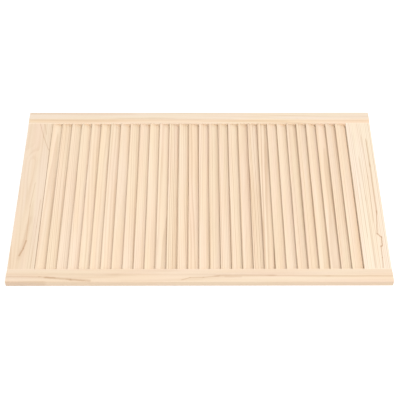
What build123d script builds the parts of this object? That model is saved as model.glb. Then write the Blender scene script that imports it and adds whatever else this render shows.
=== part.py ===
from build123d import *
import math
import os

# Fixed-louvre door of solid softwood, lying on its back with its front face up.
# +X runs along the stiles towards the top end of the hung door, +Y across the door, +Z out of the front.
# The origin is the centre of the back face. Every length is in millimetres and every angle in degrees.

# ---- overall size ----
DOOR_LENGTH = 993.0
DOOR_WIDTH = 594.0
DOOR_THICKNESS = 18.0

# ---- stiles ----
STILE_WIDTH = 42.0
STILE_FLAT = 26.5             # flat part of the front face, beside the gentle inner bevel
FRONT_EASE = 3.0              # radius of the outer front edge
BACK_EASE = 1.5               # radius of the outer back edge
END_EASE = 0.8                # bevel round the sawn ends

# ---- rails ----
RAIL_WIDTH = 70.0
RAIL_THICKNESS = 15.0         # flush with the stiles at the back, so the front face lies lower
RAIL_EDGE_EASE = 1.0          # bevel along the rail's outer edges

# ---- slats ----
SLAT_COUNT = 30
SLAT_PITCH = 28.33
SLAT_WIDTH = 32.0
SLAT_THICKNESS = 5.0
SLAT_TILT = 20.0
SLAT_BACK_HEIGHT = 0.4        # height of the low edge above the back face
FIRST_SLAT_GAP = 0.2          # from the bottom rail to the nose of the first slat
SLAT_HOUSING = 6.0            # depth of the slanted slots in the stiles
FIT_CLEARANCE = 0.1           # per side, in slots and dowel holes

# ---- dowels ----
DOWEL_RADIUS = 4.0
DOWEL_LENGTH = 40.0
DOWEL_END_BEVEL = 0.8
DOWEL_SPACING = 36.0          # between the two dowels of one corner
DOWEL_HOLE_SPARE = 0.5        # extra depth at the blind end of each hole

# ---- derived ----
HALF_LENGTH = DOOR_LENGTH / 2
HALF_WIDTH = DOOR_WIDTH / 2
INNER_HALF_WIDTH = HALF_WIDTH - STILE_WIDTH
RAIL_INNER_X = HALF_LENGTH - RAIL_WIDTH
RAIL_CENTRE_X = HALF_LENGTH - RAIL_WIDTH / 2
DOWEL_HEIGHT = RAIL_THICKNESS / 2
NOSE_RADIUS = SLAT_THICKNESS / 2
NOSE_SPAN = SLAT_WIDTH - SLAT_THICKNESS
NOSE_RUN = NOSE_SPAN * math.cos(math.radians(SLAT_TILT))
NOSE_RISE = NOSE_SPAN * math.sin(math.radians(SLAT_TILT))


def slat_centre(index):
    """X and Z of the middle of one slat, counted from the bottom rail."""
    nose_tip_x = -RAIL_INNER_X + FIRST_SLAT_GAP + index * SLAT_PITCH
    x = nose_tip_x + NOSE_RADIUS + NOSE_RUN / 2
    z = SLAT_BACK_HEIGHT + NOSE_RADIUS + NOSE_RISE / 2
    return x, z


def slat_body(index, length, spare):
    """A thin board with both long edges rounded, its edge nearer the bottom rail raised.

    spare grows the section on every side, so the same shape also cuts the slots.
    """
    x, z = slat_centre(index)
    # The sketch's second axis points down, so a positive turn lowers the +X edge.
    section_plane = Plane(origin=(x, 0, z), x_dir=(1, 0, 0), z_dir=(0, 1, 0))
    with BuildPart() as slat:
        with BuildSketch(section_plane):
            SlotCenterToCenter(NOSE_SPAN, SLAT_THICKNESS + 2 * spare, rotation=SLAT_TILT)
        extrude(amount=length / 2, both=True)
    return slat.part


def make_slat(index):
    inserted = SLAT_HOUSING - FIT_CLEARANCE
    return slat_body(index, 2 * (INNER_HALF_WIDTH + inserted), 0)


def stile_blank():
    """The +Y stile before machining: flat face, inner bevel, eased outer edges, bevelled ends."""
    bevel_start_y = HALF_WIDTH - STILE_FLAT
    with BuildPart() as stile:
        with BuildSketch(Plane.YZ):
            with BuildLine():
                Polyline(
                    (INNER_HALF_WIDTH, 0),
                    (HALF_WIDTH, 0),
                    (HALF_WIDTH, DOOR_THICKNESS),
                    (bevel_start_y, DOOR_THICKNESS),
                    (INNER_HALF_WIDTH, RAIL_THICKNESS),
                    close=True,
                )
            make_face()
        extrude(amount=HALF_LENGTH, both=True)
        front_edge = stile.edges().filter_by(Axis.X).group_by(Axis.Z)[-1].sort_by(Axis.Y)[-1]
        fillet(front_edge, FRONT_EASE)
        back_edge = stile.edges().filter_by(Axis.X).group_by(Axis.Z)[0].sort_by(Axis.Y)[-1]
        fillet(back_edge, BACK_EASE)
        end_faces = stile.faces().filter_by(Axis.X)
        chamfer(end_faces.edges(), END_EASE)
    return stile.part


def dowel_positions():
    """X and sign of Y for the eight dowels, two at each corner."""
    positions = []
    for end in (-1, 1):
        for offset in (-DOWEL_SPACING / 2, DOWEL_SPACING / 2):
            for side in (-1, 1):
                positions.append((end * RAIL_CENTRE_X + offset, side))
    return positions


def cross_cylinder(x, y, radius, length):
    """A cylinder along Y at dowel height."""
    return Pos(x, y, DOWEL_HEIGHT) * Rot(X=90) * Cylinder(radius, length)


def dowel_hole(x, side):
    hole_length = DOWEL_LENGTH + 2 * DOWEL_HOLE_SPARE
    return cross_cylinder(x, side * INNER_HALF_WIDTH, DOWEL_RADIUS + FIT_CLEARANCE, hole_length)


def make_stile(side):
    """One full-length side member, with its slat slots and dowel holes."""
    stile = stile_blank()
    if side < 0:
        stile = mirror(stile, about=Plane.XZ)
    slot_length = 2 * (INNER_HALF_WIDTH + SLAT_HOUSING)
    cutters = [slat_body(index, slot_length, FIT_CLEARANCE) for index in range(SLAT_COUNT)]
    cutters += [dowel_hole(x, dowel_side) for x, dowel_side in dowel_positions() if dowel_side == side]
    return stile - cutters


def make_rail(end):
    """A short cross member between the stiles, thinner than they are."""
    length = 2 * INNER_HALF_WIDTH
    with BuildPart() as rail:
        with Locations((end * RAIL_CENTRE_X, 0, RAIL_THICKNESS / 2)):
            Box(RAIL_WIDTH, length, RAIL_THICKNESS)
        long_edges = rail.edges().filter_by(Axis.Y)
        outer_edges = long_edges.sort_by(Axis.X)[-2:] if end > 0 else long_edges.sort_by(Axis.X)[:2]
        chamfer(outer_edges, RAIL_EDGE_EASE)
    cutters = [dowel_hole(x, side) for x, side in dowel_positions() if x * end > 0]
    return rail.part - cutters


def make_dowel(x, side):
    """A plain glued dowel, half in the rail and half in the stile."""
    dowel = cross_cylinder(x, side * INNER_HALF_WIDTH, DOWEL_RADIUS, DOWEL_LENGTH)
    return chamfer(dowel.edges().filter_by(GeomType.CIRCLE), DOWEL_END_BEVEL)


def write(shape, node):
    shape.label = node
    export_step(shape, f"parts/{node}.step")


def main():
    os.makedirs("parts", exist_ok=True)
    write(make_stile(1), "left_stile")
    write(make_stile(-1), "right_stile")
    write(make_rail(-1), "bottom_rail")
    write(make_rail(1), "top_rail")
    for index in range(SLAT_COUNT):
        write(make_slat(index), f"slat_{index + 1:02d}")
    for number, (x, side) in enumerate(dowel_positions(), start=1):
        write(make_dowel(x, side), f"dowel_{number}")


main()
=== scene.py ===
import math

import bpy
import numpy as np
from mathutils import Matrix, Vector


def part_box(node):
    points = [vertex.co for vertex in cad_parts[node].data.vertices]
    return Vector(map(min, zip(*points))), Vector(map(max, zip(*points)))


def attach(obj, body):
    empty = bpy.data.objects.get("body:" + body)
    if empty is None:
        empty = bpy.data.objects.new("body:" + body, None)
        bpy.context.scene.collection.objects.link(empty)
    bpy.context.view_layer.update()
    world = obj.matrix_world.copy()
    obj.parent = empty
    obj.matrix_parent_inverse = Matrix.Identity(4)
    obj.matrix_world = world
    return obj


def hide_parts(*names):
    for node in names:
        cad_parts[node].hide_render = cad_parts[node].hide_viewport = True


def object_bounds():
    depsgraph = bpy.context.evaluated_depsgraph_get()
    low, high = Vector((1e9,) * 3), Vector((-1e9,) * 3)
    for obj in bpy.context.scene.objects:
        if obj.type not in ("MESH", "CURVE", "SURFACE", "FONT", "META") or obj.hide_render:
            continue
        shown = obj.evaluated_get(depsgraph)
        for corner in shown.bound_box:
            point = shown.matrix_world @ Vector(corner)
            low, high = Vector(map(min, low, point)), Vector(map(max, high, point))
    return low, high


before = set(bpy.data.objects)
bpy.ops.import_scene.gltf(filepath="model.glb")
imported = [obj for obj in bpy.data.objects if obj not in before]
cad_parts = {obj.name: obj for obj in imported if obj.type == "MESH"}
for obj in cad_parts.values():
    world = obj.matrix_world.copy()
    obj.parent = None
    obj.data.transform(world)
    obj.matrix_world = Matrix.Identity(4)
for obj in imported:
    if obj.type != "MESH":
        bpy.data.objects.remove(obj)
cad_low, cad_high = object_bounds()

bl_info = {
    "name": "Fixed-louvre pine door",
    "version": (1, 0, 0),
    "blender": (4, 5, 0),
    "location": "3D View > Sidebar > Louvre Door",
    "description": "Dresses the packed door frame: planed pine stiles and rails, slats and dowels",
    "category": "Object",
}

# Lengths are in metres and angles in radians. The door lies on its back: X runs along the stiles,
# Y across the door and Z out of its front face.
SLATS = tuple(sorted(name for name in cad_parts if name.startswith("slat_")))
DOWELS = tuple(sorted(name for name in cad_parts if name.startswith("dowel_")))

# About how many features a noise has in a metre along X, Y and Z. In wood, X is along the grain.
BEND = (1.6, 2.5, 2.5)
RIPPLE = (7, 70, 70)
STREAK = (4, 170, 170)
FIBRE = (45, 1500, 1500)
RESIN_CANAL = (90, 1100, 1100)
CLOUD = (3, 40, 40)
PLANED_PATCH = (9, 30, 30)
SCRATCH = (12, 800, 800)
SAW_SCORE = (40, 90, 1400)
FLOOR_MOTTLE = (3, 3, 3)

# What the wood's colour is multiplied by.
PINK_CLOUD = (1.0, 0.955, 0.93, 1)
YELLOW_CLOUD = (0.985, 0.99, 0.92, 1)
PINK_BOARD = (0.985, 0.93, 0.90, 1)
CREAM_BOARD = (1.0, 1.0, 0.90, 1)
END_GRAIN = (0.80, 0.70, 0.60, 1)
# Tint of the dark grain lines, and also of the painted shade on the right stile's outer side face.
DARK_GRAIN_AND_SHADE = (0.62, 0.46, 0.34, 1)
WARM_WOOD = (1.02, 0.95, 0.86, 1)
# Painted light: brightens the stiles' inner walls beside the slats, standing in for light that would reach
# them from the front.
PAINTED_LIGHT_INNER_WALL = (1.33, 1.35, 1.38, 1)

WOOD_SPECULAR = 0.32
BUMP_STRENGTH = 0.55
BUMP_DEPTH = 0.00025

# A mark that reaches this far both ways passes both ends of a stile before it fades.
PAST_THE_ENDS = 0.6


# ---------------------------------------------------------------- user settings

class TimberSettings(bpy.types.PropertyGroup):
    """Colours and figure of the planed pine."""

    early_colour: bpy.props.FloatVectorProperty(
        name="Early wood", description="Pale wood between the growth rings",
        subtype="COLOR", size=3, min=0, max=1, default=(0.690, 0.556, 0.432))
    # Painted light: the slat wood is paler than the frame's to offset the shade that falls on the tilted
    # slats.
    slat_colour_painted_lighter: bpy.props.FloatVectorProperty(
        name="Slat wood", description="Pale wood of the slats",
        subtype="COLOR", size=3, min=0, max=1, default=(0.748, 0.606, 0.468))
    late_colour: bpy.props.FloatVectorProperty(
        name="Late wood", description="Darker wood of the growth rings",
        subtype="COLOR", size=3, min=0, max=1, default=(0.500, 0.345, 0.220))
    dowel_colour: bpy.props.FloatVectorProperty(
        name="Dowel wood", description="Plain hardwood of the dowels",
        subtype="COLOR", size=3, min=0, max=1, default=(0.560, 0.400, 0.250))
    ring_width: bpy.props.FloatProperty(
        name="Ring width", description="Average width of one year's growth",
        subtype="DISTANCE", unit="LENGTH", min=0.0005, default=0.0034)
    board_seed: bpy.props.IntProperty(
        name="Board seed", description="Chooses where in the log each slat was cut", default=11)


class SlatSettings(bpy.types.PropertyGroup):
    """Shape of the slats that a frame box alone doesn't give."""

    thickness: bpy.props.FloatProperty(
        name="Thickness", description="Slat thickness, also the width of its rounded edges",
        subtype="DISTANCE", unit="LENGTH", min=0.001, default=0.005)
    nose_steps: bpy.props.IntProperty(
        name="Edge steps", description="Divisions round each rounded edge", min=3, default=12)
    face_steps: bpy.props.IntProperty(
        name="Face steps", description="Divisions across each flat side", min=1, default=8)
    length_steps: bpy.props.IntProperty(
        name="Length steps", description="Divisions along the slat", min=1, default=24)
    end_ease: bpy.props.FloatProperty(
        name="End easing", description="How far the sawn ends are rounded over",
        subtype="DISTANCE", unit="LENGTH", min=0, default=0.0004)


class DowelSettings(bpy.types.PropertyGroup):
    """Shape of the fluted dowels."""

    flute_count: bpy.props.IntProperty(
        name="Flutes", description="Glue grooves round the dowel", min=4, default=16)
    flute_depth: bpy.props.FloatProperty(
        name="Flute depth", description="Depth of each glue groove",
        subtype="DISTANCE", unit="LENGTH", min=0, default=0.00035)
    flute_steps: bpy.props.IntProperty(
        name="Flute steps", description="Divisions across each flute", min=4, default=6)
    length_steps: bpy.props.IntProperty(
        name="Length steps", description="Divisions along the dowel", min=1, default=8)
    end_bevel: bpy.props.FloatProperty(
        name="End bevel", description="Bevel at both ends",
        subtype="DISTANCE", unit="LENGTH", min=0, default=0.0008)


class StudioSettings(bpy.types.PropertyGroup):
    """Floor, light and camera."""

    floor_size: bpy.props.FloatProperty(
        name="Floor size", description="Side of the square floor",
        subtype="DISTANCE", unit="LENGTH", min=1, default=14.0)
    floor_colour: bpy.props.FloatVectorProperty(
        name="Floor colour", description="Pale studio floor",
        subtype="COLOR", size=3, min=0, max=1, default=(0.86, 0.86, 0.86))
    floor_glow: bpy.props.FloatProperty(
        name="Floor glow", description="Light the floor gives off, as backlit studio paper does", min=0,
        default=0.20)
    sky_strength: bpy.props.FloatProperty(
        name="Surround", description="Strength of the even white surround", min=0, default=1.05)
    key_strength: bpy.props.FloatProperty(
        name="Key light", description="Power of the large overhead light",
        subtype="POWER", unit="POWER", min=0, default=33.0)
    key_place: bpy.props.FloatVectorProperty(
        name="Key light place", description="Where the overhead light hangs",
        subtype="TRANSLATION", unit="LENGTH", size=3, default=(0.5, -0.6, 2.7))
    key_size: bpy.props.FloatProperty(
        name="Key light size", description="Side of the square overhead light",
        subtype="DISTANCE", unit="LENGTH", min=0.1, default=2.0)
    camera_place: bpy.props.FloatVectorProperty(
        name="Camera place", description="Where the camera stands",
        subtype="TRANSLATION", unit="LENGTH", size=3, default=(-0.0032, -1.6112, 2.0283))
    camera_pitch: bpy.props.FloatProperty(
        name="Camera pitch", description="Downward tilt of the camera",
        subtype="ANGLE", unit="ROTATION", default=math.radians(51.834))
    camera_yaw: bpy.props.FloatProperty(
        name="Camera yaw", description="Turn of the camera towards +X",
        subtype="ANGLE", unit="ROTATION", default=math.radians(0.179))
    camera_roll: bpy.props.FloatProperty(
        name="Camera roll", description="Roll of the camera about its own axis",
        subtype="ANGLE", unit="ROTATION", default=math.radians(0.0705))
    camera_lens: bpy.props.FloatProperty(
        name="Camera lens", description="Focal length on a 36 mm sensor", min=1, default=84.478)


# ---------------------------------------------------------------- node helpers

FLOAT, COLOUR, VECTOR = "NodeSocketFloat", "NodeSocketColor", "NodeSocketVector"


def add_node(tree, kind, inputs=None, **settings):
    """Adds one node, sets its options, and fills or links its inputs."""
    node = tree.nodes.new(kind)
    for name, value in settings.items():
        setattr(node, name, value)
    for name, value in (inputs or {}).items():
        if isinstance(value, bpy.types.NodeSocket):
            tree.links.new(value, node.inputs[name])
        else:
            node.inputs[name].default_value = value
    return node


def place_group(tree, group, inputs):
    """Puts a shared effect into a material; the result is its outputs."""
    return add_node(tree, "ShaderNodeGroup", inputs, node_tree=group).outputs


def calc(tree, operation, *values, clamp=False):
    """One maths step on numbers or sockets."""
    return add_node(tree, "ShaderNodeMath", dict(enumerate(values)),
                    operation=operation, use_clamp=clamp).outputs[0]


def add_share(tree, amount, pattern, share, clamp=False):
    """Adds a share of a pattern that runs from 0 to 1, so that its middle changes nothing."""
    centred = calc(tree, "SUBTRACT", pattern, 0.5)
    return calc(tree, "MULTIPLY_ADD", centred, share, amount, clamp=clamp)


def vector_calc(tree, operation, *values):
    """One vector step; the result is the vector output."""
    return add_node(tree, "ShaderNodeVectorMath", dict(enumerate(values)),
                    operation=operation).outputs["Vector"]


def vector_length(tree, vector):
    """Length of a vector."""
    return add_node(tree, "ShaderNodeVectorMath", {0: vector}, operation="LENGTH").outputs["Value"]


def split(tree, vector):
    """The X, Y and Z of a vector."""
    return add_node(tree, "ShaderNodeSeparateXYZ", {"Vector": vector}).outputs


def join(tree, **parts):
    """A vector from its X, Y and Z; a part not given is 0."""
    return add_node(tree, "ShaderNodeCombineXYZ", parts).outputs[0]


def noise(tree, vector, per_metre, detail=2.0, roughness=0.5, output="Fac"):
    """Noise with about this many features in a metre along each axis."""
    scaled = vector_calc(tree, "MULTIPLY", vector, per_metre)
    values = {"Vector": scaled, "Scale": 1.0, "Detail": detail, "Roughness": roughness}
    return add_node(tree, "ShaderNodeTexNoise", values).outputs[output]


def fade(tree, value, start, end, low=0.0, high=1.0):
    """Smooth step of a value from low at start to high at end."""
    return add_node(tree, "ShaderNodeMapRange",
                    {"Value": value, "From Min": start, "From Max": end, "To Min": low, "To Max": high},
                    interpolation_type="SMOOTHSTEP").outputs["Result"]


def blend_colour(tree, mode, factor, first, second):
    """Mixes two colours."""
    node = add_node(tree, "ShaderNodeMix", data_type="RGBA", blend_type=mode, clamp_factor=True)
    sockets = {"Factor_Float": factor, "A_Color": first, "B_Color": second}
    for identifier, value in sockets.items():
        socket = next(s for s in node.inputs if s.identifier == identifier)
        if isinstance(value, bpy.types.NodeSocket):
            tree.links.new(value, socket)
        else:
            socket.default_value = value
    return next(s for s in node.outputs if s.identifier == "Result_Color")


def new_group(name, inputs, outputs):
    """An empty shader group with named sockets; inputs maps name to (type, default)."""
    group = bpy.data.node_groups.new(name, "ShaderNodeTree")
    for label, (kind, default) in inputs.items():
        socket = group.interface.new_socket(name=label, in_out="INPUT", socket_type=kind)
        if default is not None:
            socket.default_value = default
    for label, kind in outputs.items():
        group.interface.new_socket(name=label, in_out="OUTPUT", socket_type=kind)
    entry = group.nodes.new("NodeGroupInput")
    leave = group.nodes.new("NodeGroupOutput")
    return group, entry.outputs, leave.inputs


# ---------------------------------------------------------------- shared wood effects

def ring_number(tree, given):
    """Growth rings counted from the pith, as a number with a fraction.

    It is the distance from the pith, bent by slow noise, plus the taper times the place along the
    trunk, all divided by the ring width. Finer noise then ripples the count.
    """
    place = given["Place"]
    # Most of the noise lies within a quarter of its middle, so 4 times the difference is about 1.
    slow = noise(tree, place, BEND, detail=1.5, output="Color")
    shift = vector_calc(tree, "SUBTRACT", slow, (0.5, 0.5, 0.5))
    shift = vector_calc(tree, "MULTIPLY", shift, (0, 4, 4))
    reach = join(tree, Y=given["Wander"], Z=given["Wander"])
    bent = vector_calc(tree, "ADD", place, vector_calc(tree, "MULTIPLY", shift, reach))
    radius = vector_length(tree, vector_calc(tree, "MULTIPLY", bent, (0, 1, 1)))
    radius = calc(tree, "MULTIPLY_ADD", split(tree, bent)["X"], given["Taper"], radius)
    rings = calc(tree, "DIVIDE", radius, given["Ring Width"])
    return calc(tree, "MULTIPLY_ADD", noise(tree, place, RIPPLE), 0.55, rings)


def late_wood(tree, rings):
    """How far each point is into dark late wood, from 0 to 1.

    Each ring darkens slowly and ends sharply, and a random number for each year makes some rings
    stronger than others.
    """
    season = calc(tree, "FRACT", rings)
    rise = fade(tree, season, 0.25, 0.90)
    fall = fade(tree, season, 0.92, 1.0, 1.0, 0.0)
    year = calc(tree, "FLOOR", rings)
    chance = add_node(tree, "ShaderNodeTexWhiteNoise", {"W": year}, noise_dimensions="1D").outputs["Value"]
    strength = fade(tree, chance, 0.0, 1.0, 0.35, 1.0)
    return calc(tree, "MULTIPLY", calc(tree, "MULTIPLY", rise, fall), strength)


def make_figure_group(timber):
    """Growth rings, streaks, fibres and resin canals of a softwood board.

    Place is measured from the pith: X along the grain, Y and Z across it. Late Strength says how dark
    the rings are. Tone makes the whole board pinker towards 1 and creamier towards -1.
    """
    tree, given, out = new_group("Pine figure", {
        "Place": (VECTOR, None),
        "Ring Width": (FLOAT, timber.ring_width),
        "Taper": (FLOAT, 0.02),
        "Wander": (FLOAT, 0.006),
        "Early Colour": (COLOUR, (*timber.early_colour, 1)),
        "Late Colour": (COLOUR, (*timber.late_colour, 1)),
        "Late Strength": (FLOAT, 0.5),
        "Tone": (FLOAT, 0.0),
    }, {"Colour": COLOUR, "Roughness": FLOAT, "Height": FLOAT})
    place = given["Place"]
    late = late_wood(tree, ring_number(tree, given))
    fibre = noise(tree, place, FIBRE, detail=3.0, roughness=0.65)
    streaks = noise(tree, place, STREAK, detail=3.0)
    # Resin canals are short dark dashes, and lie in the late wood.
    canal = fade(tree, noise(tree, place, RESIN_CANAL, detail=1.0), 0.70, 0.80)
    canal = calc(tree, "MULTIPLY", canal, fade(tree, late, 0.1, 0.6))

    dark = calc(tree, "MULTIPLY", late, given["Late Strength"])
    dark = add_share(tree, dark, streaks, 0.60)
    dark = add_share(tree, dark, fibre, 0.22)
    dark = calc(tree, "MULTIPLY_ADD", canal, 0.25, dark, clamp=True)
    colour = blend_colour(tree, "MIX", dark, given["Early Colour"], given["Late Colour"])
    cloud = add_node(tree, "ShaderNodeSeparateColor", {"Color": noise(tree, place, CLOUD, output="Color")})
    for channel, tint in (("Red", PINK_CLOUD), ("Green", YELLOW_CLOUD)):
        patch = fade(tree, cloud.outputs[channel], 0.36, 0.64, 0.0, 0.70)
        colour = blend_colour(tree, "MULTIPLY", patch, colour, tint)
    pink = fade(tree, given["Tone"], 0.0, 1.0)
    cream = fade(tree, given["Tone"], -1.0, 0.0, 1.0, 0.0)
    colour = blend_colour(tree, "MULTIPLY", pink, colour, PINK_BOARD)
    colour = blend_colour(tree, "MULTIPLY", cream, colour, CREAM_BOARD)
    tree.links.new(colour, out["Colour"])

    # Late wood is denser, so it is smoother and stands a little proud. The canals are open.
    rough = calc(tree, "MULTIPLY_ADD", late, -0.10, 0.60)
    rough = add_share(tree, rough, fibre, 0.20, clamp=True)
    tree.links.new(rough, out["Roughness"])
    height = calc(tree, "MULTIPLY", late, 0.45)
    height = calc(tree, "MULTIPLY_ADD", fibre, 0.55, height)
    height = calc(tree, "MULTIPLY_ADD", canal, -0.30, height)
    tree.links.new(height, out["Height"])
    return tree


def make_planing_group():
    """Marks of the planer: shallow ripples across the grain, and a few fine scratches along it."""
    tree, given, out = new_group("Planer marks", {
        "Place": (VECTOR, None),
        "Knife Pitch": (FLOAT, 0.0018),
    }, {"Height": FLOAT})
    place = given["Place"]
    turn = calc(tree, "DIVIDE", split(tree, place)["X"], given["Knife Pitch"])
    wave = calc(tree, "SINE", calc(tree, "MULTIPLY", turn, 2 * math.pi))
    patch = fade(tree, noise(tree, place, PLANED_PATCH), 0.35, 0.7)
    wave = calc(tree, "MULTIPLY", wave, patch)
    scratch = fade(tree, noise(tree, place, SCRATCH, detail=1.0), 0.66, 0.74)
    height = calc(tree, "MULTIPLY_ADD", wave, 0.25, 0.5)
    height = calc(tree, "MULTIPLY_ADD", scratch, -0.5, height)
    tree.links.new(height, out["Height"])
    return tree


def make_end_group():
    """Sawn end grain: a mask for faces whose normal lies along the grain, and the saw's scoring."""
    tree, given, out = new_group("Sawn end", {
        "Place": (VECTOR, None),
        "Normal": (VECTOR, None),
        "Grain": (VECTOR, (1, 0, 0)),
    }, {"Mask": FLOAT, "Height": FLOAT})
    facing = add_node(tree, "ShaderNodeVectorMath", {0: given["Normal"], 1: given["Grain"]},
                      operation="DOT_PRODUCT").outputs["Value"]
    mask = fade(tree, calc(tree, "ABSOLUTE", facing), 0.75, 0.95)
    tree.links.new(mask, out["Mask"])
    tree.links.new(noise(tree, given["Place"], SAW_SCORE), out["Height"])
    return tree


def make_line_group():
    """One mark, of grain or of painted light and shade: a band with soft ends that wavers sideways.

    Place is centred on the mark and divided by its half length and half width, so the band lies
    where both its parts are below 1. Seed gives each mark its own wavering.
    """
    tree, given, out = new_group("Grain and light line", {
        "Place": (VECTOR, None),
        "Strength": (FLOAT, 0.5),
        "Waver": (FLOAT, 0.8),
        "Seed": (FLOAT, 0.0),
    }, {"Mask": FLOAT})
    spot = split(tree, given["Place"])
    path = join(tree, X=spot["X"], Y=given["Seed"])
    waver = calc(tree, "SUBTRACT", noise(tree, path, (2.5, 1, 1), detail=3.0), 0.5)
    across = calc(tree, "MULTIPLY_ADD", waver, given["Waver"], spot["Y"])
    band = fade(tree, calc(tree, "ABSOLUTE", across), 0.15, 1.0, 1.0, 0.0)
    ends = fade(tree, calc(tree, "ABSOLUTE", spot["X"]), 0.8, 1.0, 1.0, 0.0)
    mask = calc(tree, "MULTIPLY", calc(tree, "MULTIPLY", band, ends), given["Strength"])
    tree.links.new(mask, out["Mask"])
    return tree


def shared_groups():
    """The wood effects, each built once."""
    timber = bpy.context.scene.door_timber
    makers = {
        "Pine figure": lambda: make_figure_group(timber),
        "Planer marks": make_planing_group,
        "Sawn end": make_end_group,
        "Grain and light line": make_line_group,
    }
    return {name: bpy.data.node_groups.get(name) or make() for name, make in makers.items()}


# ---------------------------------------------------------------- materials

def new_material(name):
    """An empty material and its node tree."""
    material = bpy.data.materials.new(name)
    material.use_nodes = True
    return material, material.node_tree


def local_spot(tree, position, centre, angle, halves):
    """Position seen from an upright ellipse in the XY plane: 0 at its centre, length 1 on its outline."""
    return add_node(tree, "ShaderNodeMapping", {
        "Vector": position, "Location": (*centre, 0), "Rotation": (0, 0, angle),
        "Scale": (*halves, 1)}, vector_type="TEXTURE").outputs[0]


def grain_and_light_path(places, half_width, strength, tint=DARK_GRAIN_AND_SHADE):
    """Mark through several XY places, as one slightly overlapping piece for each step."""
    overlap = 1.2
    pieces = []
    for start, end in zip(places[:-1], places[1:]):
        run = Vector(end) - Vector(start)
        centre = (Vector(start) + Vector(end)) / 2
        halves = (overlap * run.length / 2, half_width)
        pieces.append((tuple(centre), math.atan2(run.y, run.x), halves, strength, tint))
    return pieces


def lengthwise_band(y, half_width, tint):
    """Straight full-strength mark along a whole stile."""
    return grain_and_light_path([(-PAST_THE_ENDS, y), (PAST_THE_ENDS, y)], half_width, 1.0, tint)


def finish_wood(material, place, grain, figure, lines=(), ends=True):
    """Joins the wood effects to the shader of one material.

    place is the socket that gives the position in the log, grain the board's direction in the frame,
    figure the values of its own rings, and lines its marks, of grain and of painted light and shade, as
    grain_and_light_path gives them. ends adds end grain where the board was sawn across.
    """
    tree = material.node_tree
    groups = shared_groups()
    coordinates = add_node(tree, "ShaderNodeTexCoord").outputs
    wood = place_group(tree, groups["Pine figure"], {"Place": place, **figure})
    plane = place_group(tree, groups["Planer marks"], {"Place": place})
    colour, rough = wood["Colour"], wood["Roughness"]
    height = calc(tree, "MULTIPLY_ADD", plane["Height"], 0.35, wood["Height"])
    if ends:
        end = place_group(tree, groups["Sawn end"], {
            "Place": place, "Normal": coordinates["Normal"], "Grain": grain})
        colour = blend_colour(tree, "MULTIPLY", end["Mask"], colour, END_GRAIN)
        rough = calc(tree, "MULTIPLY_ADD", end["Mask"], 0.25, rough, clamp=True)
        scoring = calc(tree, "MULTIPLY", end["Mask"], end["Height"])
        height = calc(tree, "MULTIPLY_ADD", scoring, 0.8, height)
    seed_step = 7.3
    for number, (centre, angle, halves, strength, tint) in enumerate(lines):
        spot = local_spot(tree, coordinates["Object"], centre, angle, halves)
        mark = place_group(tree, groups["Grain and light line"], {
            "Place": spot, "Strength": strength, "Seed": seed_step * number})
        colour = blend_colour(tree, "MULTIPLY", mark["Mask"], colour, tint)
    shader = tree.nodes["Principled BSDF"]
    tree.links.new(colour, shader.inputs["Base Color"])
    tree.links.new(rough, shader.inputs["Roughness"])
    bump = add_node(tree, "ShaderNodeBump", {
        "Height": height, "Strength": BUMP_STRENGTH, "Distance": BUMP_DEPTH})
    tree.links.new(bump.outputs[0], shader.inputs["Normal"])
    shader.inputs["Specular IOR Level"].default_value = WOOD_SPECULAR
    return material


def raise_rings(tree, position, place, swell):
    """Lifts the growth rings in a ridge, which the board's flat face cuts into arches.

    swell is (centre, half sizes, height). The ridge runs towards -Y and ends towards +Y in a rounded
    nose: its height falls smoothly to 0 at 1.6 half sizes from the ridge line.
    """
    centre, halves, height = swell
    spot = split(tree, local_spot(tree, position, centre, 0, halves))
    ahead = calc(tree, "MAXIMUM", spot["Y"], 0.0)
    distance = vector_length(tree, join(tree, X=spot["X"], Y=ahead))
    ridge = fade(tree, distance, 0.0, 1.6, height, 0.0)
    return vector_calc(tree, "ADD", place, join(tree, Z=ridge))


def board_material(name, grain, pith, figure, lines=(), swell=None):
    """Material of a board that stays in the frame's own coordinates.

    grain is "X" or "Y", the axis its fibres follow; pith is the pith's place in the frame.
    """
    material, tree = new_material(name)
    position = add_node(tree, "ShaderNodeTexCoord").outputs["Object"]
    turn, direction = (0.0, (1, 0, 0)) if grain == "X" else (-math.pi / 2, (0, 1, 0))
    turned = Matrix.Rotation(turn, 3, "Z") @ Vector(pith)
    place = add_node(tree, "ShaderNodeMapping", {
        "Vector": position, "Location": -turned, "Rotation": (0, 0, turn)},
        vector_type="POINT").outputs[0]
    if swell:
        place = raise_rings(tree, position, place, swell)
    return finish_wood(material, place, direction, figure, lines)


def carried_material(name, figure):
    """Material of loose boards, which carry their place in the log, tone and boldness as attributes."""
    material, tree = new_material(name)

    def carried(label, output):
        return add_node(tree, "ShaderNodeAttribute", attribute_name=label).outputs[output]

    figure = {**figure, "Tone": carried("tone", "Fac"), "Late Strength": carried("boldness", "Fac")}
    return finish_wood(material, carried("log_place", "Vector"), (0, 1, 0), figure, ends=False)


def left_stile_pine(timber):
    """Quiet pine, warmer along the inner bevel, with two long faint lines, and painted light along its
    inner wall.
    """
    inner_face = float(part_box("left_stile")[0][1])
    lines = [
        *lengthwise_band(0.2630, 0.0100, WARM_WOOD),
        # Painted light: a thin band that brightens the inner wall beside the slats, lifting the shade
        # there.
        *lengthwise_band(inner_face, 0.0008, PAINTED_LIGHT_INNER_WALL),
        *grain_and_light_path([(-0.480, 0.2660), (-0.250, 0.2640), (0.000, 0.2665)], 0.0024, 0.18),
        *grain_and_light_path([(0.020, 0.2620), (0.250, 0.2650), (0.480, 0.2635)], 0.0024, 0.16),
        *grain_and_light_path([(-0.490, 0.2915), (-0.200, 0.2900)], 0.0030, 0.25),
    ]
    figure = {"Ring Width": timber.ring_width, "Taper": 0.006, "Wander": 0.003,
              "Late Strength": 0.30, "Tone": -0.05, "Early Colour": (0.685, 0.574, 0.462, 1)}
    return board_material("stile pine left", "X", (0.3, 0.262, -0.045), figure, lines)


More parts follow.
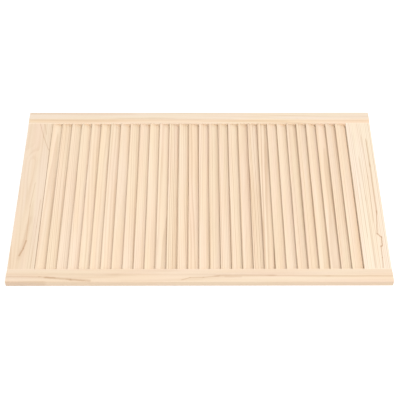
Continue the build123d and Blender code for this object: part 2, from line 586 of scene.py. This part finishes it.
def right_stile_pine(timber):
    """Pine with dark lines that run out over the eased outer edge, painted shade on its outer side face,
    and painted light along its inner wall.
    """
    inner_face = float(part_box("right_stile")[1][1])
    lines = [
        # Thin line from the bottom end, and the broad dark tail that it runs into.
        *grain_and_light_path([(-0.493, -0.2805), (-0.411, -0.2808), (-0.370, -0.2838)], 0.0022, 0.50),
        *grain_and_light_path([(-0.395, -0.2825), (-0.330, -0.2890), (-0.280, -0.2925)], 0.0052, 0.42),
        *grain_and_light_path([(-0.340, -0.2885), (-0.295, -0.2915)], 0.0024, 0.35),
        *grain_and_light_path([(-0.540, -0.2968), (-0.400, -0.2955)], 0.0040, 0.24),
        # Line that crosses the flat near the middle and goes on to the top end.
        *grain_and_light_path([(-0.046, -0.2905), (-0.024, -0.2835), (0.010, -0.2828), (0.050, -0.2785)],
                    0.0024, 0.40),
        *grain_and_light_path([(0.045, -0.2775), (0.190, -0.2760)], 0.0044, 0.32),
        *grain_and_light_path([(0.180, -0.2775), (0.330, -0.2790), (0.494, -0.2792)], 0.0032, 0.24),
        *grain_and_light_path([(0.066, -0.2810), (0.107, -0.2812)], 0.0034, 0.22),
        # Broad faint band beside the bevel.
        *grain_and_light_path([(-0.490, -0.2735), (-0.220, -0.2750), (0.060, -0.2750)], 0.0050, 0.14),
        # Painted shade: a faint dark band that darkens the whole outer side face, as less light reaches
        # it.
        *grain_and_light_path([(-PAST_THE_ENDS, -0.2972), (PAST_THE_ENDS, -0.2972)], 0.0020, 0.14),
        # Painted light: a thin band that brightens the inner wall beside the slats, lifting the shade
        # there.
        *lengthwise_band(inner_face, 0.0008, PAINTED_LIGHT_INNER_WALL),
    ]
    figure = {"Ring Width": timber.ring_width * 1.15, "Taper": 0.006, "Wander": 0.004,
              "Late Strength": 0.30, "Tone": 0.05}
    return board_material("stile pine right", "X", (-1.4, -0.270, -0.060), figure, lines)


def bottom_rail_pine(timber):
    """Pine with one short dark streak, fine lines beside the slats, and arches at its +Y end."""
    lines = [
        # The streak, with a paler halo and the thin line that leads to it.
        *grain_and_light_path([(-0.4571, -0.1640), (-0.4620, -0.1900), (-0.4705, -0.2131)], 0.0034, 0.62),
        *grain_and_light_path([(-0.4540, -0.0900), (-0.4700, -0.2200)], 0.0080, 0.16),
        *grain_and_light_path([(-0.4540, 0.0300), (-0.4592, -0.0500), (-0.4569, -0.1680)], 0.0018, 0.35),
        # Two lines that slant across the +Y corner.
        *grain_and_light_path([(-0.4624, 0.2530), (-0.4473, 0.2022), (-0.4297, 0.1544)], 0.0018, 0.45),
        *grain_and_light_path([(-0.4495, 0.2530), (-0.4413, 0.2138)], 0.0018, 0.40),
        # Two lines along the inner edge.
        *grain_and_light_path([(-0.4330, -0.0300), (-0.4350, -0.1200), (-0.4365, -0.2500)], 0.0015, 0.40),
        *grain_and_light_path([(-0.4420, -0.0900), (-0.4450, -0.2500)], 0.0014, 0.28),
    ]
    figure = {"Ring Width": timber.ring_width * 0.95, "Taper": 0.008, "Wander": 0.003,
              "Late Strength": 0.40, "Tone": 0.05}
    swell = ((-0.472, 0.10), (0.018, 0.055), 0.009)
    return board_material("rail pine bottom", "Y", (-0.480, 0.9, -0.055), figure, lines, swell)


def top_rail_pine(timber):
    """Paler pine with a long dark line near the outer edge that steps sideways once."""
    lines = [
        # The long line, its step, and what follows the step.
        *grain_and_light_path([(0.4788, 0.1900), (0.4795, 0.0934), (0.4785, -0.0691), (0.4715, -0.1430)],
                    0.0022, 0.75),
        *grain_and_light_path([(0.4713, -0.1420), (0.4816, -0.1550)], 0.0032, 0.70),
        *grain_and_light_path([(0.4816, -0.1530), (0.4805, -0.1815), (0.4760, -0.1860)], 0.0032, 0.70),
        *grain_and_light_path([(0.4770, -0.1830), (0.4760, -0.2200), (0.4745, -0.2520)], 0.0026, 0.60),
        # Three fainter lines between it and the slats.
        *grain_and_light_path([(0.4660, 0.2000), (0.4690, 0.0500), (0.4660, -0.1000)], 0.0018, 0.40),
        *grain_and_light_path([(0.4520, 0.1200), (0.4545, -0.0300), (0.4560, -0.2450)], 0.0018, 0.38),
        *grain_and_light_path([(0.4400, 0.2100), (0.4430, 0.0200), (0.4450, -0.1500)], 0.0016, 0.34),
    ]
    figure = {"Ring Width": timber.ring_width * 1.3, "Taper": 0.002, "Wander": 0.002,
              "Late Strength": 0.58, "Tone": -0.1, "Early Colour": (0.742, 0.636, 0.520, 1)}
    return board_material("rail pine top", "Y", (0.330, -0.6, -0.020), figure, lines)


def slat_pine(timber):
    """Pine of the slats, its colour set paler than the frame's as painted light that offsets the shade on
    the tilted slats.
    """
    return carried_material("slat pine", {
        "Ring Width": timber.ring_width * 1.25, "Taper": 0.008, "Wander": 0.003,
        "Early Colour": (*timber.slat_colour_painted_lighter, 1)})


def dowel_beech(timber):
    """Close-grained beech of the dowels, whose late wood is the same colour at 0.7 of its value."""
    colour = tuple(timber.dowel_colour)
    darker = tuple(0.7 * part for part in colour)
    return carried_material("dowel beech", {
        "Ring Width": 0.0016, "Taper": 0.004, "Wander": 0.001,
        "Early Colour": (*colour, 1), "Late Colour": (*darker, 1)})


def dress(node, material):
    """Gives a CAD node's object one material, in its own slots."""
    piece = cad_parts[node]
    if not piece.material_slots:
        piece.data.materials.append(material)
    for slot in piece.material_slots:
        slot.material = material


# ---------------------------------------------------------------- surfaces

def ring_faces(rings, around):
    """Quads between neighbouring rings of a closed tube that grows along +Y, its rings turning from
    +X towards +Z. They face outward."""
    ring, step = np.meshgrid(np.arange(rings - 1), np.arange(around), indexing="ij")
    following = (step + 1) % around
    first = ring * around + step
    second = ring * around + following
    return np.stack([first, first + around, second + around, second], axis=-1).reshape(-1, 4)


def end_caps(rings, around):
    """Triangles from the first and last ring to their own centre vertices, which come after the rings."""
    step = np.arange(around)
    following = (step + 1) % around
    low_centre = rings * around
    low = np.stack([np.full(around, low_centre), step, following], axis=-1)
    base = (rings - 1) * around
    high = np.stack([np.full(around, low_centre + 1), base + following, base + step], axis=-1)
    return np.concatenate([low, high])


def build_tube(name, across, along, through, place_points, attributes):
    """A closed tube along Y as a mesh object.

    across, along and through hold one value for each station and each step round the section. Both
    ends close on a centre vertex. place_points turns the tube's own points into the frame's.
    attributes gives, for the tube's own points, what each vertex carries.
    """
    rings, around = across.shape
    local = np.stack([across, along, through], axis=-1).reshape(-1, 3)
    local = np.concatenate([local, [[0, along[0, 0], 0], [0, along[-1, 0], 0]]])
    faces = [*ring_faces(rings, around).tolist(), *end_caps(rings, around).tolist()]
    mesh = bpy.data.meshes.new(name)
    mesh.from_pydata(place_points(local).tolist(), [], faces)
    mesh.update()
    for label, values in attributes(local).items():
        kind, field = ("FLOAT_VECTOR", "vector") if values.ndim == 2 else ("FLOAT", "value")
        layer = mesh.attributes.new(label, kind, "POINT")
        layer.data.foreach_set(field, values.astype(np.float32).ravel())
    mesh.shade_smooth()
    piece = bpy.data.objects.new(name, mesh)
    bpy.context.scene.collection.objects.link(piece)
    return piece


def tube_stations(length, end_size, steps):
    """Places along a tube and how much smaller its section is there: by end_size at both ends only."""
    body = np.linspace(-length / 2 + end_size, length / 2 - end_size, steps + 1)
    stations = np.concatenate([[-length / 2], body, [length / 2]])
    drop = np.concatenate([[end_size], np.zeros_like(body), [end_size]])
    return stations, drop


def slat_outline(half_span, radius, nose_steps, face_steps):
    """Section of a slat about its own centre, counter-clockwise: two half circles of the given radius,
    half_span either side of the middle, joined by straight faces."""
    turn = np.linspace(-math.pi / 2, math.pi / 2, nose_steps + 1)
    high_nose = np.stack([half_span + radius * np.cos(turn), radius * np.sin(turn)], axis=-1)
    run = np.linspace(half_span, -half_span, face_steps + 1)[1:-1]
    top = np.stack([run, np.full_like(run, radius)], axis=-1)
    return np.concatenate([high_nose, top, -high_nose, -top])


def log_cut(draw):
    """Where in the log a slat was cut, as a function from its own points to places in the log.

    Most slats are quarter-sawn, so their rings show as straight lines. The slat's section is turned
    by ring_turn about its length, scaled by closeness, and moved away from the pith. slope makes the
    rings cross the slat slightly, and start is its place along the trunk.
    """
    flat_sawn = draw.random() < 0.2
    ring_turn = draw.uniform(-0.7, 0.7) + (0.0 if flat_sawn else math.pi / 2)
    pith_distance = draw.uniform(0.05, 0.12)
    start = draw.uniform(-4.0, 4.0)
    slope = draw.uniform(-0.010, 0.010)
    closeness = draw.uniform(0.75, 1.45)
    cos, sin = math.cos(ring_turn), math.sin(ring_turn)

    def place(local):
        sideways = local[:, 0] + slope * local[:, 1]
        across = (sideways * cos - local[:, 2] * sin) * closeness
        through = (sideways * sin + local[:, 2] * cos) * closeness + pith_distance
        return np.stack([local[:, 1] + start, across, through], axis=-1)

    return place


def make_slat(node, settings, draw, share):
    """One slat, a section carried along Y, its ends slightly smaller, tilted as its frame box says.

    The box is the section's run and rise plus the length, so the tilt is the arctangent of
    (rise - thickness) over (run - thickness). share runs from 0 at the first slat to 1 at the last,
    whose boards show their rings most.
    """
    low, high = (np.array(corner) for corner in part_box(node))
    centre = (low + high) / 2
    run, length, rise = high - low
    thickness = settings.thickness
    tilt = math.atan2(rise - thickness, run - thickness)
    half_span = math.hypot(rise - thickness, run - thickness) / 2
    radius = thickness / 2
    outline = slat_outline(half_span, radius, settings.nose_steps, settings.face_steps)
    stations, drop = tube_stations(length, settings.end_ease, settings.length_steps)
    across = outline[None, :, 0] * (1 - drop / (half_span + radius))[:, None]
    through = outline[None, :, 1] * (1 - drop / radius)[:, None]
    along = np.broadcast_to(stations[:, None], across.shape)
    cos, sin = math.cos(tilt), math.sin(tilt)

    def tilted(local):
        """The +X edge is the low one: across runs to +X and down."""
        return np.stack([
            centre[0] + local[:, 0] * cos + local[:, 2] * sin,
            centre[1] + local[:, 1],
            centre[2] - local[:, 0] * sin + local[:, 2] * cos,
        ], axis=-1)

    log_place = log_cut(draw)
    tone = np.clip(draw.normal(0.0, 0.16), -1, 1)
    boldness = draw.uniform(0.35, 0.85) * (0.75 + 0.5 * share)
    return build_tube(f"pine_{node}", across, along, through, tilted, lambda local: {
        "log_place": log_place(local),
        "tone": np.full(len(local), tone),
        "boldness": np.full(len(local), boldness)})


def make_dowel(node, settings, draw):
    """One dowel along Y whose radius drops as a rounded groove at each flute: radius minus depth
    times the cosine of half the flute angle raised to the fourth power. Both ends are bevelled."""
    low, high = (np.array(corner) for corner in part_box(node))
    centre = (low + high) / 2
    radius = (high[0] - low[0]) / 2
    around = settings.flute_count * settings.flute_steps
    turn = np.arange(around) * 2 * math.pi / around
    section = radius - settings.flute_depth * np.cos(turn * settings.flute_count / 2) ** 4
    stations, drop = tube_stations(high[1] - low[1], settings.end_bevel, settings.length_steps)
    size = section[None, :] - drop[:, None]
    along = np.broadcast_to(stations[:, None], size.shape)
    log_reach, log_middle = (2.0, 0.02, 0.02), (0, 0, 0.06)
    offset = draw.uniform(-1, 1, 3) * log_reach + log_middle
    tone = draw.uniform(-0.5, 0.5)
    boldness = 0.25
    return build_tube(
        f"fluted_{node}", size * np.cos(turn), along, size * np.sin(turn), lambda local: centre + local,
        lambda local: {
            "log_place": local[:, (1, 0, 2)] + offset,
            "tone": np.full(len(local), tone),
            "boldness": np.full(len(local), boldness)})


# ---------------------------------------------------------------- studio

def add_soft_light(name, place, size, power):
    """A square area light aimed at the middle of the door."""
    lamp = bpy.data.lights.new(name, "AREA")
    lamp.shape = "SQUARE"
    lamp.size = size
    lamp.energy = power
    light = bpy.data.objects.new(name, lamp)
    bpy.context.scene.collection.objects.link(light)
    light.location = place
    light.rotation_mode = "QUATERNION"
    light.rotation_quaternion = (-Vector(place)).to_track_quat("-Z", "Y")


def add_camera(studio):
    """The camera: forward is set by yaw and pitch, then it rolls about that line."""
    pitch, yaw, roll = studio.camera_pitch, studio.camera_yaw, studio.camera_roll
    level = math.cos(pitch)
    forward = Vector((math.sin(yaw) * level, math.cos(yaw) * level, -math.sin(pitch)))
    level_right = Vector((math.cos(yaw), -math.sin(yaw), 0))
    level_up = level_right.cross(forward)
    right = math.cos(roll) * level_right + math.sin(roll) * level_up
    up = -math.sin(roll) * level_right + math.cos(roll) * level_up
    lens = bpy.data.cameras.new("camera")
    lens.sensor_width = 36.0
    lens.lens = studio.camera_lens
    camera = bpy.data.objects.new("camera", lens)
    bpy.context.scene.collection.objects.link(camera)
    turn = Matrix((right, up, -forward)).transposed().to_4x4()
    camera.matrix_world = Matrix.Translation(studio.camera_place) @ turn
    bpy.context.scene.camera = camera


def floor_material(studio):
    """Pale matt studio paper with a faint unevenness, softly backlit except beneath the door."""
    material, tree = new_material("studio floor")
    position = add_node(tree, "ShaderNodeTexCoord").outputs["Object"]
    mottle = noise(tree, position, FLOOR_MOTTLE)
    pale = (*studio.floor_colour, 1)
    dimmer = tuple(part * 0.985 for part in studio.floor_colour) + (1,)
    shader = tree.nodes["Principled BSDF"].inputs
    tree.links.new(blend_colour(tree, "MIX", mottle, pale, dimmer), shader["Base Color"])
    tree.links.new(fade(tree, mottle, 0.2, 0.8, 0.85, 0.95), shader["Roughness"])
    shader["Specular IOR Level"].default_value = 0.1
    shader["Emission Color"].default_value = (1, 1, 1, 1)
    spot = split(tree, position)
    beyond_end = calc(tree, "SUBTRACT", calc(tree, "ABSOLUTE", spot["X"]), cad_high[0])
    beyond_side = calc(tree, "SUBTRACT", calc(tree, "ABSOLUTE", spot["Y"]), cad_high[1])
    outside = calc(tree, "MAXIMUM", beyond_end, beyond_side)
    soft_border = 0.004
    glow = fade(tree, outside, -soft_border, 0.0, 0.0, studio.floor_glow)
    tree.links.new(glow, shader["Emission Strength"])
    return material


def add_floor(studio):
    """A flat square floor at Z = 0."""
    half = studio.floor_size / 2
    corners = np.array([[-half, -half, 0], [half, -half, 0], [half, half, 0], [-half, half, 0]])
    mesh = bpy.data.meshes.new("floor")
    mesh.from_pydata(corners.tolist(), [], [(0, 1, 2, 3)])
    floor = bpy.data.objects.new("floor", mesh)
    bpy.context.scene.collection.objects.link(floor)
    mesh.materials.append(floor_material(studio))


def add_surround(scene, strength):
    """Even white light from all round."""
    world = bpy.data.worlds.new("white surround")
    world.use_nodes = True
    surround = world.node_tree.nodes["Background"].inputs
    surround["Color"].default_value = (1, 1, 1, 1)
    surround["Strength"].default_value = strength
    scene.world = world


# ---------------------------------------------------------------- operators

class DOOR_OT_stage(bpy.types.Operator):
    """Set up the pale floor, the soft light and the camera"""

    bl_idname = "louvre_door.stage"
    bl_label = "Set up studio"

    def execute(self, context):
        scene = context.scene
        studio = scene.door_studio
        add_floor(studio)
        add_surround(scene, studio.sky_strength)
        add_soft_light("overhead light", studio.key_place, studio.key_size, studio.key_strength)
        add_camera(studio)
        scene.view_settings.view_transform = "Standard"
        scene.view_settings.look = "None"
        return {"FINISHED"}


class DOOR_OT_stiles(bpy.types.Operator):
    """Finish the two long stiles in flat-sawn pine"""

    bl_idname = "louvre_door.stiles"
    bl_label = "Finish stiles"

    def execute(self, context):
        timber = context.scene.door_timber
        dress("left_stile", left_stile_pine(timber))
        dress("right_stile", right_stile_pine(timber))
        return {"FINISHED"}


class DOOR_OT_rails(bpy.types.Operator):
    """Finish the two short rails in flat-sawn pine with their darker streaks"""

    bl_idname = "louvre_door.rails"
    bl_label = "Finish rails"

    def execute(self, context):
        timber = context.scene.door_timber
        dress("bottom_rail", bottom_rail_pine(timber))
        dress("top_rail", top_rail_pine(timber))
        return {"FINISHED"}


class DOOR_OT_slats(bpy.types.Operator):
    """Make the tilted slats, each from its own piece of pine"""

    bl_idname = "louvre_door.slats"
    bl_label = "Make slats"

    def execute(self, context):
        scene = context.scene
        draw = np.random.default_rng(scene.door_timber.board_seed)
        material = slat_pine(scene.door_timber)
        for number, node in enumerate(SLATS):
            share = number / (len(SLATS) - 1)
            piece = make_slat(node, scene.door_slats, draw, share)
            piece.data.materials.append(material)
            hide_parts(node)
            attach(piece, "root")
        return {"FINISHED"}


class DOOR_OT_dowels(bpy.types.Operator):
    """Make the fluted dowels that pin the rails to the stiles"""

    bl_idname = "louvre_door.dowels"
    bl_label = "Make dowels"

    def execute(self, context):
        scene = context.scene
        draw = np.random.default_rng(scene.door_timber.board_seed + 1)
        material = dowel_beech(scene.door_timber)
        for node in DOWELS:
            piece = make_dowel(node, scene.door_dowels, draw)
            piece.data.materials.append(material)
            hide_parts(node)
            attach(piece, "root")
        return {"FINISHED"}


class DOOR_PT_panel(bpy.types.Panel):
    """Sidebar panel with every piece of the door"""

    bl_idname = "DOOR_PT_panel"
    bl_label = "Louvre Door"
    bl_space_type = "VIEW_3D"
    bl_region_type = "UI"
    bl_category = "Louvre Door"

    def draw(self, context):
        column = self.layout.column()
        for operator in OPERATORS:
            column.operator(operator.bl_idname)
        for attribute, group in SETTINGS.items():
            settings = getattr(context.scene, attribute)
            box = column.box()
            box.label(text=group.__doc__)
            for name in group.__annotations__:
                box.prop(settings, name)


SETTINGS = {
    "door_timber": TimberSettings,
    "door_slats": SlatSettings,
    "door_dowels": DowelSettings,
    "door_studio": StudioSettings,
}
OPERATORS = (DOOR_OT_stage, DOOR_OT_stiles, DOOR_OT_rails, DOOR_OT_slats, DOOR_OT_dowels)


def register():
    for group in SETTINGS.values():
        bpy.utils.register_class(group)
    for attribute, group in SETTINGS.items():
        setattr(bpy.types.Scene, attribute, bpy.props.PointerProperty(type=group))
    for operator in OPERATORS:
        bpy.utils.register_class(operator)
    bpy.utils.register_class(DOOR_PT_panel)


def unregister():
    bpy.utils.unregister_class(DOOR_PT_panel)
    for operator in reversed(OPERATORS):
        bpy.utils.unregister_class(operator)
    for attribute in SETTINGS:
        delattr(bpy.types.Scene, attribute)
    for group in reversed(SETTINGS.values()):
        bpy.utils.unregister_class(group)


def main():
    register()
    bpy.ops.louvre_door.stage()
    bpy.ops.louvre_door.stiles()
    bpy.ops.louvre_door.rails()
    bpy.ops.louvre_door.slats()
    bpy.ops.louvre_door.dowels()


if __name__ == "__main__":
    main()
